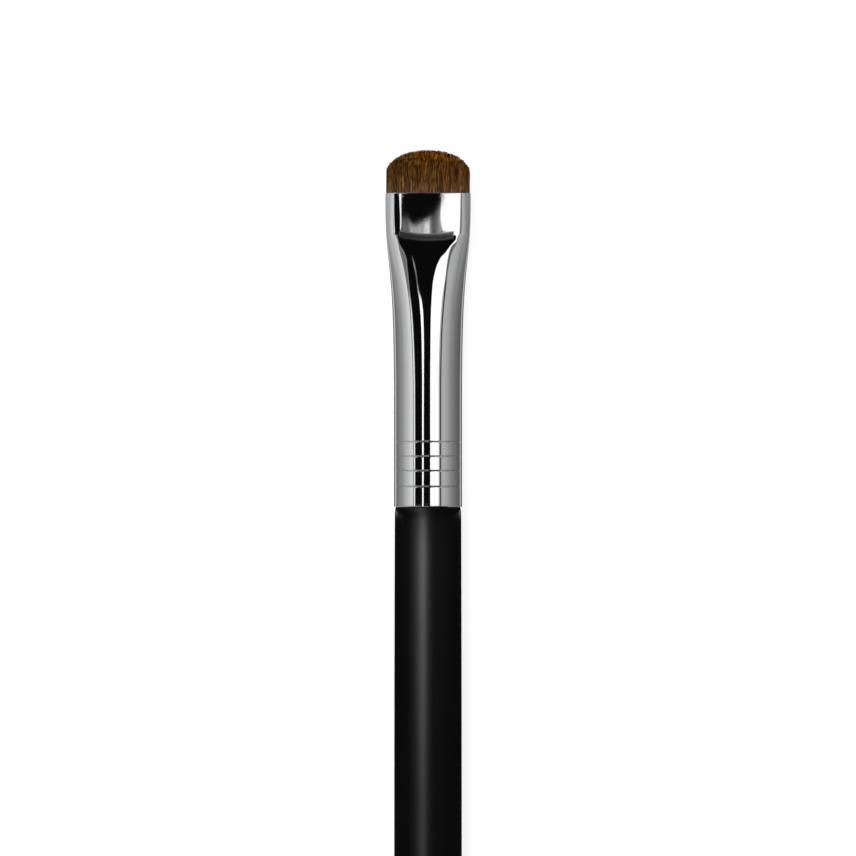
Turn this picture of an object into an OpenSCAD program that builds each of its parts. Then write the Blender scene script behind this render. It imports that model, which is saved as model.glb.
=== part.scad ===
// Flat eyeshadow brush with a short, dense, domed tuft in a flattened plated ferrule, on a lacquered wooden handle.
// The brush lies on a table: its axis runs along Y with the hair towards +Y, and the wide face looks up, along +Z.

/* [Hair] */
// Free length of the hair above the ferrule's mouth, at the crown of the dome
hair_length = 4.8; // [3.5:0.1:8]
// Free length of the hair at the two sides, where the dome starts
side_length = 1.9; // [1:0.1:3]
// How far the outer hairs spread past the mouth's inside, by the height where they start to taper
hair_spread = 0.2; // [0.05:0.01:0.22]
// Depth of the dome's face below its crown line, at the front and back rows
face_drop = 1.5; // [0.5:0.1:2]
// Depth below the rim at which the hairs part from the packed root
root_recess = 0.2; // [0.15:0.01:0.25]
// How unevenly the hair tips end
tip_scatter = 0.12; // [0:0.02:0.2]
// Length of the packed root behind the rim, to its tied butt
root_length = 17; // [16:0.5:17.5]
// Diameter of the tied butt
butt_d = 5.2; // [4.4:0.1:5.3]

/* [Ferrule] */
// Length of the ferrule
ferrule_length = 34.5; // [34:0.5:50]
// Outer diameter of the round tube
ferrule_d = 7.5; // [7.4:0.1:8.2]
// Wall thickness of the tube
ferrule_wall = 0.25; // [0.2:0.05:0.3]
// Outer width of the flattened mouth
mouth_width = 9.42; // [8.6:0.1:11]
// Outer thickness of the flattened mouth
mouth_thickness = 3.7; // [3.2:0.1:4.2]
// Length of the flat panel behind the mouth
panel_length = 4.6; // [3.5:0.1:5.5]
// Radius to which the panel is crowned across its width
panel_crown = 26; // [18:1:60]
// How much lower the panel lies at its rear crease than at the mouth
panel_dip = 0.06; // [0:0.01:0.1]
// Easing of the mouth's inner and outer edges
rim_ease = 0.08; // [0.04:0.01:0.1]
// Length of tube that the flattening changes, measured from the mouth
flare_length = 20.9; // [19.5:0.1:21.5]
// Distance behind the mouth at which the sides have come in half way
waist_at = 8.8; // [8:0.1:10]
// Number of rolled crimp rings, where the tenon is long enough for them
crimp_count = 4; // [2:1:5]
// Distance between crimp rings
crimp_pitch = 1.64; // [1.2:0.02:1.9]
// Distance from the ferrule's rear end to the first crimp ring
crimp_first = 2.3; // [1.5:0.1:3]
// Depth of a crimp ring
crimp_depth = 0.08; // [0.04:0.01:0.12]
// Width of a crimp ring
crimp_width = 0.32; // [0.2:0.02:0.5]

/* [Handle] */
// Length of the handle behind the ferrule
handle_length = 130.7; // [110:0.1:160]
// Diameter of the handle where it meets the ferrule
neck_d = 7.32; // [7:0.02:7.36]
// Largest diameter of the handle
belly_d = 7.44; // [7.4:0.01:7.48]
// Distance behind the ferrule at which the handle reaches its largest diameter
belly_at = 35; // [25:1:45]
// Length of the straight stretch at the largest diameter
belly_length = 12; // [8:1:20]
// Diameter at the tail, before its round end
tail_d = 4.6; // [3.6:0.1:6]
// Length of the round end
tail_round = 2.6; // [1.5:0.1:4]
// Drop of the soft edge round the shoulder, below the neck's radius
shoulder_drop = 0.06; // [0.02:0.01:0.1]
// Length of the soft edge round the shoulder
shoulder_round = 1.2; // [0.6:0.1:2]
// Empty length of ferrule between the resin and the glue on the tenon's end
tenon_gap = 2.9; // [2.8:0.1:4]
// Chamfer on the tenon's end
tenon_chamfer = 0.6; // [0.3:0.1:1]

/* [Coat, glue and thread] */
// Room left for glue between the tenon and the ferrule
glue_film = 0.12; // [0.1:0.01:0.2]
// Thickness of the lacquer coat on the handle
coat = 0.12; // [0.08:0.01:0.2]
// Thickness of the glue that the tenon pushes ahead of its end
glue_pool = 0.5; // [0.3:0.1:0.8]
// Diameter of the thread that ties the root
thread_d = 0.5; // [0.4:0.05:0.6]
// Turns of thread round the root
thread_turns = 3; // [2:1:3]
// Distance between turns of thread
thread_pitch = 1.05; // [1:0.01:1.1]
// Distance from the butt's end to the nearest turn's centre line
thread_margin = 0.9; // [0.7:0.1:1.1]
// Distance of the resin's front from the middle of the foremost turn
resin_ahead = 0.7; // [0.6:0.1:0.9]
// Thickness of resin behind the butt
resin_behind = 1.6; // [1:0.1:2]

/* [Hidden] */
$fn = 96;

// Running gap between pieces that are packed or cast against each other
fit_gap = 0.02;
// Step and lap of the joint between the round tube and its flattened end, inside the wall
seam_step = 0.008;
seam_lap = 0.3;
seam_inset = 0.06;
round_enough = 0.002;   // below this an oval counts as a circle

// Flattening of the tube
ferrule_r = ferrule_d / 2;
bore_r = ferrule_r - ferrule_wall;
round_top = ferrule_length - flare_length;
flare_power = 3.4;      // sharpness of the waist
swell_rate = 5;         // how fast the flat face climbs back to the round
curve_power = 0.45;     // how fast the flat face turns round
ferrule_sides = 72;     // round the outline, a multiple of four
crimp_shares = [-1, -0.5, 0, 0.5, 1];   // places of a crimp ring's points, in half widths from its middle
panel_steps = 3;
ramp_steps = 13;
ramp_power = 1.5;       // closer stations by the crease

// Hair layout at the mouth
hair_columns = 84;      // round the outline, a multiple of four so that a hair lies on the middle
hair_rows = 5;          // from the outline to the middle line
spine_share = 0.6;      // how far the middle line stops short of the outline, in half thicknesses
taper_at_share = 0.84;  // height at which a hair starts to taper
taper_width_share = 0.84;   // how wide it is there
tip_seed = 11;
panel_shares = [0, 0.5, 1];                        // rings of the root along the panel
neck_shares = [0.05, 0.15, 0.35, 0.6, 0.85, 1];    // and from there to the tied butt

// Thread
thread_sides = 6;
thread_rings = 24;      // to a turn
resin_rings = 6;

// Handle profile
tail_steps = 8;
swell_steps = 8;
taper_steps = 18;
taper_power = 1.7;

butt_r = butt_d / 2;
tenon_r = bore_r - glue_film;
thread_r = butt_r + fit_gap + thread_d / 2;
resin_bore_r = thread_r + thread_d / 2 + fit_gap;
thread_length = thread_turns * thread_pitch;
// Distances behind the mouth
thread_back = root_length - thread_margin;
thread_front = thread_back - thread_length;
resin_front = thread_front - resin_ahead;
resin_back = root_length + resin_behind;
neck_end = resin_front - fit_gap;
// The tenon fills the ferrule up to the empty length behind the resin
tenon_length = ferrule_length - resin_back - tenon_gap - glue_pool;
// The root and the resin lie this far inside the ferrule's outer face
root_inset = ferrule_wall + fit_gap;

// Row frame: origin under the middle of the brush, on the table
overall_length = handle_length + ferrule_length + hair_length;
mouth_y = overall_length / 2 - hair_length;
rear_y = mouth_y - ferrule_length;

function mix(a, b, share) = a + (b - a) * share;

// Share of the mouth's extra width that is left at distance d behind the mouth: 1 at the mouth, 0 at the round tube
function waist(d) = 1 / (1 + pow(d / waist_at, flare_power));
function width_share(d) = (waist(min(d, flare_length)) - waist(flare_length)) / (1 - waist(flare_length));

// Share of the ramp behind the panel: 0 at the crease, 1 at the round tube
function ramp_share(d) = min(1, max(0, (d - panel_length) / (flare_length - panel_length)));
function swell_share(u) = (1 - exp(-swell_rate * u)) / (1 - exp(-swell_rate));

function half_width(d) = mix(ferrule_r, mouth_width / 2, width_share(d));
function panel_half(d) = mouth_thickness / 2 - panel_dip * min(1, d / panel_length);
function half_thickness(d) = mix(panel_half(d), ferrule_r, swell_share(ramp_share(d)));
// Curvature of the wide face: the panel's crown at the mouth, the tube's own at the round end
function face_curvature(d) = mix(1 / panel_crown, 1 / ferrule_r, pow(ramp_share(d), curve_power));

// Radius of an oval's narrow ends, from its half width, half thickness and face curvature
function end_radius(w, h, curve) =
    1 - curve * w < round_enough ? h : (2 * h - curve * (w * w + h * h)) / (2 * (1 - curve * w));

// Point of an oval of four arcs where its outward normal stands at the given angle, moved in by inset
function oval_point(w, h, curve, angle, inset) =
    let (
        end_r = end_radius(w, h, curve),
        nx = cos(angle),
        ny = sin(angle),
        on_face = abs(nx) * (1 - curve * h) < curve * (w - end_r) * abs(ny),
        x = on_face ? nx / curve : sign(nx) * (w - end_r) + end_r * nx,
        y = on_face ? ny / curve - sign(ny) * (1 / curve - h) : end_r * ny
    )
    [x - inset * nx, y - inset * ny];

// Normal's angle at a share of the way round an oval, from its +X end
function oval_angle(w, h, curve, share) =
    let (
        end_r = end_radius(w, h, curve),
        face_turn = atan2(w - end_r, 1 / curve - h),
        end_turn = 90 - face_turn,
        end_part = end_r * end_turn / (end_r * end_turn + face_turn / curve),
        quarters = 4 * share,
        past = quarters - floor(quarters),
        run = floor(quarters) % 2 == 0 ? past : 1 - past,
        turn = run < end_part
            ? end_turn * run / end_part
            : end_turn + face_turn * (run - end_part) / (1 - end_part)
    )
    90 * floor(quarters) + (floor(quarters) % 2 == 0 ? turn : 90 - turn);

// Point of the ferrule's section at distance d behind the mouth, at a share of the way round it
function ferrule_point(d, share, inset) =
    let (
        w = half_width(d),
        h = half_thickness(d),
        curve = face_curvature(d)
    )
    oval_point(w, h, curve, oval_angle(w, h, curve, share), inset);

function ferrule_ring(d, inset) = [
    for (i = [0 : ferrule_sides - 1])
        let (p = ferrule_point(d, (i + 0.5) / ferrule_sides, inset))
        [p.x, p.y, ferrule_length - d]
];

function round_ring(r, z) = [
    for (i = [0 : ferrule_sides - 1])
        let (a = (i + 0.5) * 360 / ferrule_sides)
        [r * cos(a), r * sin(a), z]
];

function panel_distances() = [for (k = [0 : panel_steps]) mix(rim_ease, panel_length, k / panel_steps)];
function ramp_distances() = [
    for (k = [1 : ramp_steps - 1])
        mix(panel_length, flare_length, pow(k / ramp_steps, ramp_power))
];
function flare_distances() = concat(panel_distances(), ramp_distances());

function flatten(lists) = [for (l = lists) each l];
function reversed(list) = [for (i = [len(list) - 1 : -1 : 0]) list[i]];

// Triangles of the band between ring a and ring b, of n points each
function band(n, a, b) = flatten([
    for (i = [0 : n - 1])
        let (j = (i + 1) % n)
        [[a * n + i, a * n + j, b * n + j], [a * n + i, b * n + j, b * n + i]]
]);

// A closed tube: rings run up the outside and back down the inside
module ring_tube(rings) {
    n = len(rings[0]);
    count = len(rings);
    polyhedron(
        points = flatten(rings),
        faces = flatten([for (k = [0 : count - 1]) band(n, (k + 1) % count, k)])
    );
}

// A solid skin over a stack of rings, closed by a fan at each end
module ring_solid(rings) {
    n = len(rings[0]);
    count = len(rings);
    top = (count - 1) * n;
    polyhedron(
        points = flatten(rings),
        faces = concat(
            flatten([for (k = [0 : count - 2]) band(n, k + 1, k)]),
            [for (i = [1 : n - 2]) [0, i, i + 1]],
            [for (i = [1 : n - 2]) [top, top + i + 1, top + i]]
        )
    );
}

// Lays a piece that was drawn along +Z, with the ferrule's rear end at 0, on the table along Y
module lay_down() {
    translate([0, rear_y, ferrule_r])
        rotate([-90, 0, 0])
            children();
}

// Places of the crimp rings, all of them over the straight part of the tenon
crimp_places = [
    for (k = [0 : crimp_count - 1])
        let (z = crimp_first + k * crimp_pitch)
        if (z + crimp_width / 2 < tenon_length - tenon_chamfer) z
];

// Outline of a wall of radius r with its crimp rings, from rear to front
function crimped_line(r) = [
    for (z = crimp_places)
        for (share = crimp_shares)
            [r - crimp_depth * (1 + cos(180 * share)) / 2, z + share * crimp_width / 2]
];

// Round rear part of the ferrule, rolled in over the tenon at each crimp ring
module ferrule_tube(top) {
    rotate_extrude()
        polygon(concat(
            [[bore_r, 0], [ferrule_r, 0]],
            crimped_line(ferrule_r),
            [[ferrule_r, top], [bore_r, top]],
            reversed(crimped_line(bore_r))
        ));
}

module ferrule() {
    distances = flare_distances();
    outer = [
        round_ring(ferrule_r - seam_inset, round_top - seam_lap),
        round_ring(ferrule_r - seam_step, round_top),
        each [for (d = reversed(distances)) ferrule_ring(d, 0)],
        ferrule_ring(0, rim_ease)
    ];
    inner = [
        ferrule_ring(0, ferrule_wall - rim_ease),
        each [for (d = distances) ferrule_ring(d, ferrule_wall)],
        round_ring(bore_r + seam_step, round_top),
        round_ring(bore_r + seam_inset, round_top - seam_lap)
    ];
    color("silver")
        lay_down()
            union() {
                ferrule_tube(round_top + seam_lap / 3);
                ring_tube(concat(outer, inner));
            }
}

// Cast resin behind the root, with the tied butt inside it
module root_resin() {
    distances = [for (k = [0 : resin_rings]) mix(resin_back, resin_front, k / resin_rings)];
    color("goldenrod")
        lay_down()
            difference() {
                ring_solid([for (d = distances) ferrule_ring(d, root_inset)]);
                translate([0, 0, ferrule_length - thread_back - thread_d])
                    cylinder(r = resin_bore_r, h = resin_back - resin_front);
                translate([0, 0, ferrule_length - root_length - fit_gap])
                    cylinder(r = butt_r + fit_gap, h = resin_back - resin_front);
            }
}

// Outline of the packed root: the ferrule's own inside, drawn in to the tied butt by the share gathered
function root_ring(d, gathered) = [
    for (j = [0 : hair_columns - 1])
        let (
            share = (j + 0.5) / hair_columns,
            packed = ferrule_point(d, share, root_inset),
            tied_r = min(butt_r, half_thickness(d) - root_inset),
            p = mix(packed, tied_r * [cos(360 * share), sin(360 * share)], gathered)
        )
        [p.x, p.y, ferrule_length - d]
];

// Rings of the packed root, from the butt up to where the hairs part
function root_rings() = concat(
    [root_ring(root_length, 1)],
    [for (u = reversed(neck_shares)) root_ring(mix(panel_length, neck_end, u), u)],
    [for (u = reversed(panel_shares)) root_ring(mix(root_recess, panel_length, u), 0)]
);

// The hairs part in a grid of tiles, from the outline (row 0) to a middle line that both halves share
outline_w = half_width(root_recess) - root_inset;
outline_h = half_thickness(root_recess) - root_inset;
function fold(j) = min(j % hair_columns, hair_columns - 1 - j % hair_columns);
function hair_corner(j, k) =
    let (
        edge = ferrule_point(root_recess, (j % hair_columns + 0.5) / hair_columns, root_inset),
        middle = [(outline_w - spine_share * outline_h) * (1 - 2 * fold(j) / (hair_columns / 2 - 1)), 0],
        p = mix(edge, middle, k / hair_rows)
    )
    [p.x, p.y, ferrule_length - root_recess];

function corner_index(first, j, k) =
    k < hair_rows
        ? first + k * hair_columns + j % hair_columns
        : first + hair_rows * hair_columns + fold(j);

// Height of the dome above the rim at a point of the mouth
function dome_height(x, y) =
    let (
        across = sqrt(max(0, 1 - pow(x / outline_w, 2))),
        drop = face_drop * pow(y / outline_h, 2)
    )
    side_length + (hair_length - side_length) * across - drop * across;

// One hair: four points where it starts to taper, and its tip
function hair_points(j, k, scatter) =
    let (
        corners = [hair_corner(j, k), hair_corner(j + 1, k), hair_corner(j + 1, k + 1), hair_corner(j, k + 1)],
        centre = (corners[0] + corners[1] + corners[2] + corners[3]) / 4,
        spread = 1 + hair_spread / outline_w,
        free = root_recess + dome_height(centre.x, centre.y) - tip_scatter * scatter,
        rise = [0, 0, free * taper_at_share]
    )
    concat(
        [
            for (c = corners)
                let (q = mix(centre, c, taper_width_share))
                [q.x * spread, q.y * spread, q.z] + rise
        ],
        [[centre.x * spread, centre.y * spread, centre.z + free]]
    );

module hair_tuft() {
    rings = root_rings();
    root_count = len(rings) * hair_columns;
    first = root_count - hair_columns;
    inner = flatten([
        for (k = [1 : hair_rows - 1])
            [for (j = [0 : hair_columns - 1]) hair_corner(j, k)]
    ]);
    middle = [for (j = [0 : hair_columns / 2 - 1]) hair_corner(j, hair_rows)];
    scatter = rands(0, 1, hair_columns * hair_rows, tip_seed);
    hairs = flatten([
        for (k = [0 : hair_rows - 1])
            for (j = [0 : hair_columns - 1])
                [each hair_points(j, k, scatter[k * hair_columns + j])]
    ]);
    hair_first = root_count + len(inner) + len(middle);
    hair_faces = flatten([
        for (k = [0 : hair_rows - 1])
            for (j = [0 : hair_columns - 1])
                let (
                    base = [
                        corner_index(first, j, k),
                        corner_index(first, j + 1, k),
                        corner_index(first, j + 1, k + 1),
                        corner_index(first, j, k + 1)
                    ],
                    own = hair_first + 5 * (k * hair_columns + j)
                )
                flatten([
                    for (e = [0 : 3])
                        let (
                            f = (e + 1) % 4,
                            foot = base[e] == base[f] ? [] : [[base[f], base[e], own + f]]
                        )
                        concat(foot, [[base[e], own + e, own + f], [own + f, own + e, own + 4]])
                ])
    ]);
    color("saddlebrown")
        lay_down()
            polyhedron(
                points = concat(flatten(rings), inner, middle, hairs),
                faces = concat(
                    flatten([for (k = [0 : len(rings) - 2]) band(hair_columns, k + 1, k)]),
                    [for (i = [1 : hair_columns - 2]) [0, i, i + 1]],
                    hair_faces
                )
            );
}

// Waxed thread wound round the butt in one helix
function thread_centre(a) = [thread_r * cos(a), thread_r * sin(a), ferrule_length - thread_back + thread_pitch * a / 360];
function thread_ring(a) =
    let (
        out = [cos(a), sin(a), 0],
        along = [-thread_r * sin(a), thread_r * cos(a), thread_pitch / (2 * PI)] / norm([thread_r, thread_pitch / (2 * PI)]),
        up = cross(along, out)
    )
    [
        for (s = [0 : thread_sides - 1])
            let (t = 360 * (s + 0.5) / thread_sides)
            thread_centre(a) + thread_d / 2 * (cos(t) * out + sin(t) * up)
    ];
thread_angles = [for (k = [0 : thread_turns * thread_rings]) 360 * k / thread_rings];
thread_gap = min([
    for (i = [0 : len(thread_angles) - 1])
        for (j = [i + thread_rings / 2 : len(thread_angles) - 1])
            norm(thread_centre(thread_angles[i]) - thread_centre(thread_angles[j])) - thread_d
]);
echo(least_gap_between_turns_of_thread_mm = thread_gap);

module binding_thread() {
    color("ivory")
        lay_down()
            ring_solid([for (a = thread_angles) thread_ring(a)]);
}

// Glue round the tenon, and the pool that the tenon pushes ahead of it
module tenon_glue() {
    pool_top = tenon_length + glue_pool;
    outer_r = bore_r - fit_gap;
    inner_r = tenon_r + fit_gap;
    color("wheat")
        lay_down()
            rotate_extrude()
                polygon(concat(
                    [[inner_r, 0], [outer_r, 0]],
                    crimped_line(outer_r),
                    [[outer_r, pool_top], [0, pool_top], [0, tenon_length + fit_gap]],
                    [[tenon_r - tenon_chamfer, tenon_length + fit_gap], [inner_r, tenon_length - tenon_chamfer]],
                    reversed(crimped_line(inner_r))
                ));
}

// Profile of the handle behind the ferrule, front to back, as radius and place, moved in by inset
neck_r = neck_d / 2;
belly_r = belly_d / 2;
tail_r = tail_d / 2;
tail_at = handle_length - tail_round;
function shoulder_line(inset) = [
    [neck_r - shoulder_drop - inset, 0],
    [neck_r - shoulder_drop / 4 - inset, -shoulder_round / 3]
];
function swell_line(inset) = [
    for (k = [0 : swell_steps])
        let (u = k / swell_steps)
        [mix(belly_r, neck_r, pow(1 - u, 2)) - inset, -mix(shoulder_round, belly_at, u)]
];
function taper_line(inset) = [
    for (k = [0 : taper_steps])
        let (u = k / taper_steps)
        [mix(belly_r, tail_r, pow(u, taper_power)) - inset, -mix(belly_at + belly_length, tail_at, u)]
];
function tail_line(inset) = [
    for (k = [1 : tail_steps])
        let (a = 90 * k / tail_steps)
        [k == tail_steps ? 0 : (tail_r - inset) * cos(a), -(tail_at + (tail_round - inset) * sin(a))]
];
function handle_line(inset) = concat(shoulder_line(inset), swell_line(inset), taper_line(inset), tail_line(inset));

// Turned wooden handle with the tenon that the ferrule is crimped to
module handle_core() {
    color("burlywood")
        lay_down()
            rotate_extrude()
                polygon(concat(
                    [[0, tenon_length], [tenon_r - tenon_chamfer, tenon_length], [tenon_r, tenon_length - tenon_chamfer]],
                    reversed(crimped_line(tenon_r)),
                    [[tenon_r, 0]],
                    handle_line(coat + fit_gap)
                ));
}

// Black lacquer over all of the handle that shows
module handle_lacquer() {
    color([0.05, 0.05, 0.05])
        lay_down()
            rotate_extrude()
                polygon(concat(handle_line(0), reversed(handle_line(coat))));
}

hair_tuft();
binding_thread();
root_resin();
ferrule();
tenon_glue();
handle_core();
handle_lacquer();
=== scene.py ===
"""Flat eyeshadow brush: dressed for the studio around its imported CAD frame.

The brush lies along Y with its hair towards +Y and the ferrule's flat panel facing up.
Lengths are in metres.
"""
import math

import bmesh
import bpy
import numpy as np
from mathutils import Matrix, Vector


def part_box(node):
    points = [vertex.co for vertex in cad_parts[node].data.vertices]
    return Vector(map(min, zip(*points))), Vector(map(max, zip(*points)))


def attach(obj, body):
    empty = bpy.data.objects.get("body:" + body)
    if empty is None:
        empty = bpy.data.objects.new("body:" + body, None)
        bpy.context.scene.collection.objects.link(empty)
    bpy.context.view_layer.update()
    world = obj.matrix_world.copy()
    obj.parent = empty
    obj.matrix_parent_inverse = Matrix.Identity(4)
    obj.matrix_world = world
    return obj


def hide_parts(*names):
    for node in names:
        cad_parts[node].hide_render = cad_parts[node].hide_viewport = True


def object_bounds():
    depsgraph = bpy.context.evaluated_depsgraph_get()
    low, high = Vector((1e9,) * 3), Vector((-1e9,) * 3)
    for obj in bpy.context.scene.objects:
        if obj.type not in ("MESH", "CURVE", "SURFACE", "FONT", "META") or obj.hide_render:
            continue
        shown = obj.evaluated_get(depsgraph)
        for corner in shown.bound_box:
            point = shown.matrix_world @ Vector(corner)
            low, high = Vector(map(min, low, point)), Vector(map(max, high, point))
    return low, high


MM = 0.001
DEGREES = 180 / math.pi

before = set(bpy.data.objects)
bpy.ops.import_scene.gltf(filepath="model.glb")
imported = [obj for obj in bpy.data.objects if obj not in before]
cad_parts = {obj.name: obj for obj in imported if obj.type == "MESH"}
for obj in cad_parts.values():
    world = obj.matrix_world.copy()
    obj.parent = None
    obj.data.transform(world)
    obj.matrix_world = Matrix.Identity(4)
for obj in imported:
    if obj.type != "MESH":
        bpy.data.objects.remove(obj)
cad_low, cad_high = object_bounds()

# Places and sizes that the frame gives
ferrule_low, ferrule_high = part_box("ferrule")
hair_low, hair_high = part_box("hair_tuft")
coat_low, coat_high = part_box("handle_lacquer")
MOUTH_Y = ferrule_high.y
REAR_Y = ferrule_low.y
FERRULE_LENGTH = MOUTH_Y - REAR_Y
TIP_Y = hair_high.y
FREE_HAIR = TIP_Y - MOUTH_Y
TAIL_Y = coat_low.y
AXIS_Z = (ferrule_low.z + ferrule_high.z) / 2
TUBE_R = (ferrule_high.z - ferrule_low.z) / 2
MOUTH_HALF_WIDTH = ferrule_high.x
BELLY_R = coat_high.x

# Ferrule: the panel behind its flat mouth, the crease that ends it, and the flare to the tube
WALL = 0.25 * MM
MOUTH_HALF_THICKNESS = 1.85 * MM
MOUTH_ROUNDNESS = 0.05
PANEL_LENGTH = 4.6 * MM
PANEL_CROWN = 21 * MM
PANEL_TAPER = 0.14 * MM
PANEL_DIP = 0.07 * MM
CREASE_CROWN = 25 * MM
CREASE_ROUNDNESS = 0.35
CREASE_SOFTNESS = 0.16 * MM
CREASE_BOW = 0.4 * MM
CREASE_NARROWS = 1.45
BOW_AHEAD = 0.25
FLARE_LENGTH = 20.9 * MM
WAIST_AT = 8.8 * MM
WAIST_POWER = 3.4
SWELL_RATE = 5
CURVE_POWER = 0.25
CURVE_START = 0.02
NEARLY_ROUND = 0.002
RIM_EASE = 0.08 * MM
REAR_EDGE = 0.03 * MM
FERRULE_SIDES = 288

# Rings of the ferrule's skin up to the end of the flare: (from, to, how many), behind the mouth
SKIN_RINGS = [
    (RIM_EASE, 0.5 * MM, 9),
    (0.6 * MM, PANEL_LENGTH - 0.9 * MM, 22),
    (PANEL_LENGTH - 0.85 * MM, PANEL_LENGTH + 1.1 * MM, 54),
    (PANEL_LENGTH + 1.2 * MM, FLARE_LENGTH, 58),
]

# Crimp rings, by their distance in front of the ferrule's rear end
CRIMPS = [2.17 * MM, 3.91 * MM, 5.49 * MM, 7.1 * MM]
CRIMP_DEPTH = 0.024 * MM
CRIMP_FRONT = 0.19 * MM
CRIMP_BACK = 0.06 * MM
CRIMP_MARGIN = 0.06 * MM
CRIMP_FRONT_RINGS = 13
CRIMP_BACK_RINGS = 6

# Painted shade at the crease, a darker and rougher band of plate: where it starts, is full, starts
# to fade and is gone, behind the crease and towards +X
CREASE_SHADE_ALONG = (-0.5 * MM, -0.18 * MM, 0.1 * MM, 0.65 * MM)
CREASE_SHADE_ACROSS = (-3.35 * MM, -3.05 * MM, 2.65 * MM, 3.0 * MM)

# Hair: its layers from below to above, its free length over the mouth, and the outline of one hair
HAIR_LAYERS = ("hair_lower", "hair_middle", "hair_upper")
SIDE_HEIGHT = 1.05 * MM
FACE_SIDE_HEIGHT = 0.95 * MM
FACE_CROWN_HEIGHT = 2.5 * MM
CROWN_CLEARANCE = 0.05 * MM
DOME_POWER = 0.33
FACE_POWER = 2.2
HAIR_SIDES = 4
HAIR_RINGS = 9
HAIR_RADIUS = 0.044 * MM
HAIR_FOOT = 0.82
HAIR_WAIST = 0.9
HAIR_POINT_FROM = 0.95
HAIR_TAPER = 0.75
HAIR_TAPER_FROM = 0.45
HAIR_TAPER_POWER = 1.3
MOUTH_SHARE = 0.2
ROOT_DEPTH = 1.2 * MM
HAIR_SPREAD = 0.16 * MM
SPREAD_HEIGHT = 0.1 * MM

# How many hairs and clumps there are, and how far chance moves them. Pairs are for x and z
SEED = 7
HAIR_COUNT = 6400
CLUMP_COUNT = 800
MOUTH_FILL = 0.94
ROOT_JITTER = 0.3
LENGTH_JITTER = 0.055 * MM
CLUMP_LENGTH_JITTER = 0.035 * MM
LONG_FROM = 0.94
LONG_EXTRA = 2.4 * MM
GATHER = (0.25, 0.2)
LEAN = (0.06 * MM, 0.05 * MM)
CLUMP_LEAN = (0.05 * MM, 0.03 * MM)
FACE_TUCK = 0.1
CLIMB_POWER = 1.2
WAVE = (0.03 * MM, 0.035 * MM)
WAVE_TURN = (9, 10)
WAVE_PHASE = 3

# Packed root inside the ferrule
ROOT_FRONT_Y = MOUTH_Y - ROOT_DEPTH * 0.75
ROOT_BODY_FROM = 0.3 * MM
ROOT_BODY_RINGS = 6
ROOT_NECK_FROM = 0.4 * MM
ROOT_NECK_RINGS = 14
ROOT_SIDES = 96
ROOT_CLEARANCE = 0.03 * MM
BUTT_R = 2.6 * MM
ROOT_STRAND = (0.3, 0.0, 0.3, 1.0)

# Handle
NECK_R = 3.66 * MM
SHOULDER_DROP = 0.16 * MM
SHOULDER_ROUND = 1.3 * MM
BELLY_AT = 35 * MM
BELLY_LENGTH = 12 * MM
TAIL_R = 2.3 * MM
TAIL_ROUND = 2.6 * MM
TAPER_POWER = 1.7
COAT = 0.12 * MM
SHOULDER_RINGS = 8
NECK_RINGS = 14
TAPER_RINGS = 30
TAIL_RINGS = 12
HANDLE_SIDES = 192

# The photograph's view: straight down, with the mouth this far above the picture's middle
VIEW_WIDTH = 94.16 * MM
VIEW_DROP = 25.85 * MM
CAMERA_HEIGHT = 0.8
SENSOR_MM = 36


def mix(a, b, share):
    return a + (b - a) * share


def spread(start, end, count):
    """Evenly spaced numbers from start to end, both included."""
    return [mix(start, end, i / (count - 1)) for i in range(count)]


# Node trees


class Value:
    """A socket that a node gives out. Sums on it add Math nodes."""

    def __init__(self, tree, socket):
        self.tree = tree
        self.socket = socket

    def other(self, output):
        """Another output of the same node."""
        return Value(self.tree, self.socket.node.outputs[output])

    def math(self, operation, other=0.0):
        return self.tree.add("ShaderNodeMath", {"operation": operation}, {0: self, 1: other})

    def __add__(self, other):
        return self.math("ADD", other)

    def __sub__(self, other):
        return self.math("SUBTRACT", other)

    def __rsub__(self, other):
        return self * -1.0 + other

    def __mul__(self, other):
        return self.math("MULTIPLY", other)

    def __truediv__(self, other):
        return self.math("DIVIDE", other)

    def __pow__(self, other):
        return self.math("POWER", other)

    __radd__ = __add__
    __rmul__ = __mul__

    def clamped(self):
        return self.tree.add("ShaderNodeClamp", {}, {0: self})

    def rise(self, low, high):
        """0 below low and 1 above high, with a smooth step between."""
        links = {"Value": self, "From Min": low, "From Max": high}
        return self.tree.add("ShaderNodeMapRange", {"interpolation_type": "SMOOTHSTEP"}, links)

    def window(self, start, full, fade, gone):
        """1 between full and fade, and 0 before start and after gone."""
        return self.rise(start, full) * (1 - self.rise(fade, gone))

    def ramp(self, stops):
        """Straight lines between stops of (place, number or colour)."""
        return self.tree.add("ShaderNodeValToRGB", {"stops": stops}, {0: self})

    def by_table(self, table, low, high, top):
        """The ramp through a table of (value, result), for values from low to high.

        No result is over top.
        """
        stops = [((place - low) / (high - low), result / top) for place, result in table]
        return ((self - low) / (high - low)).ramp(stops) * top


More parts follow.
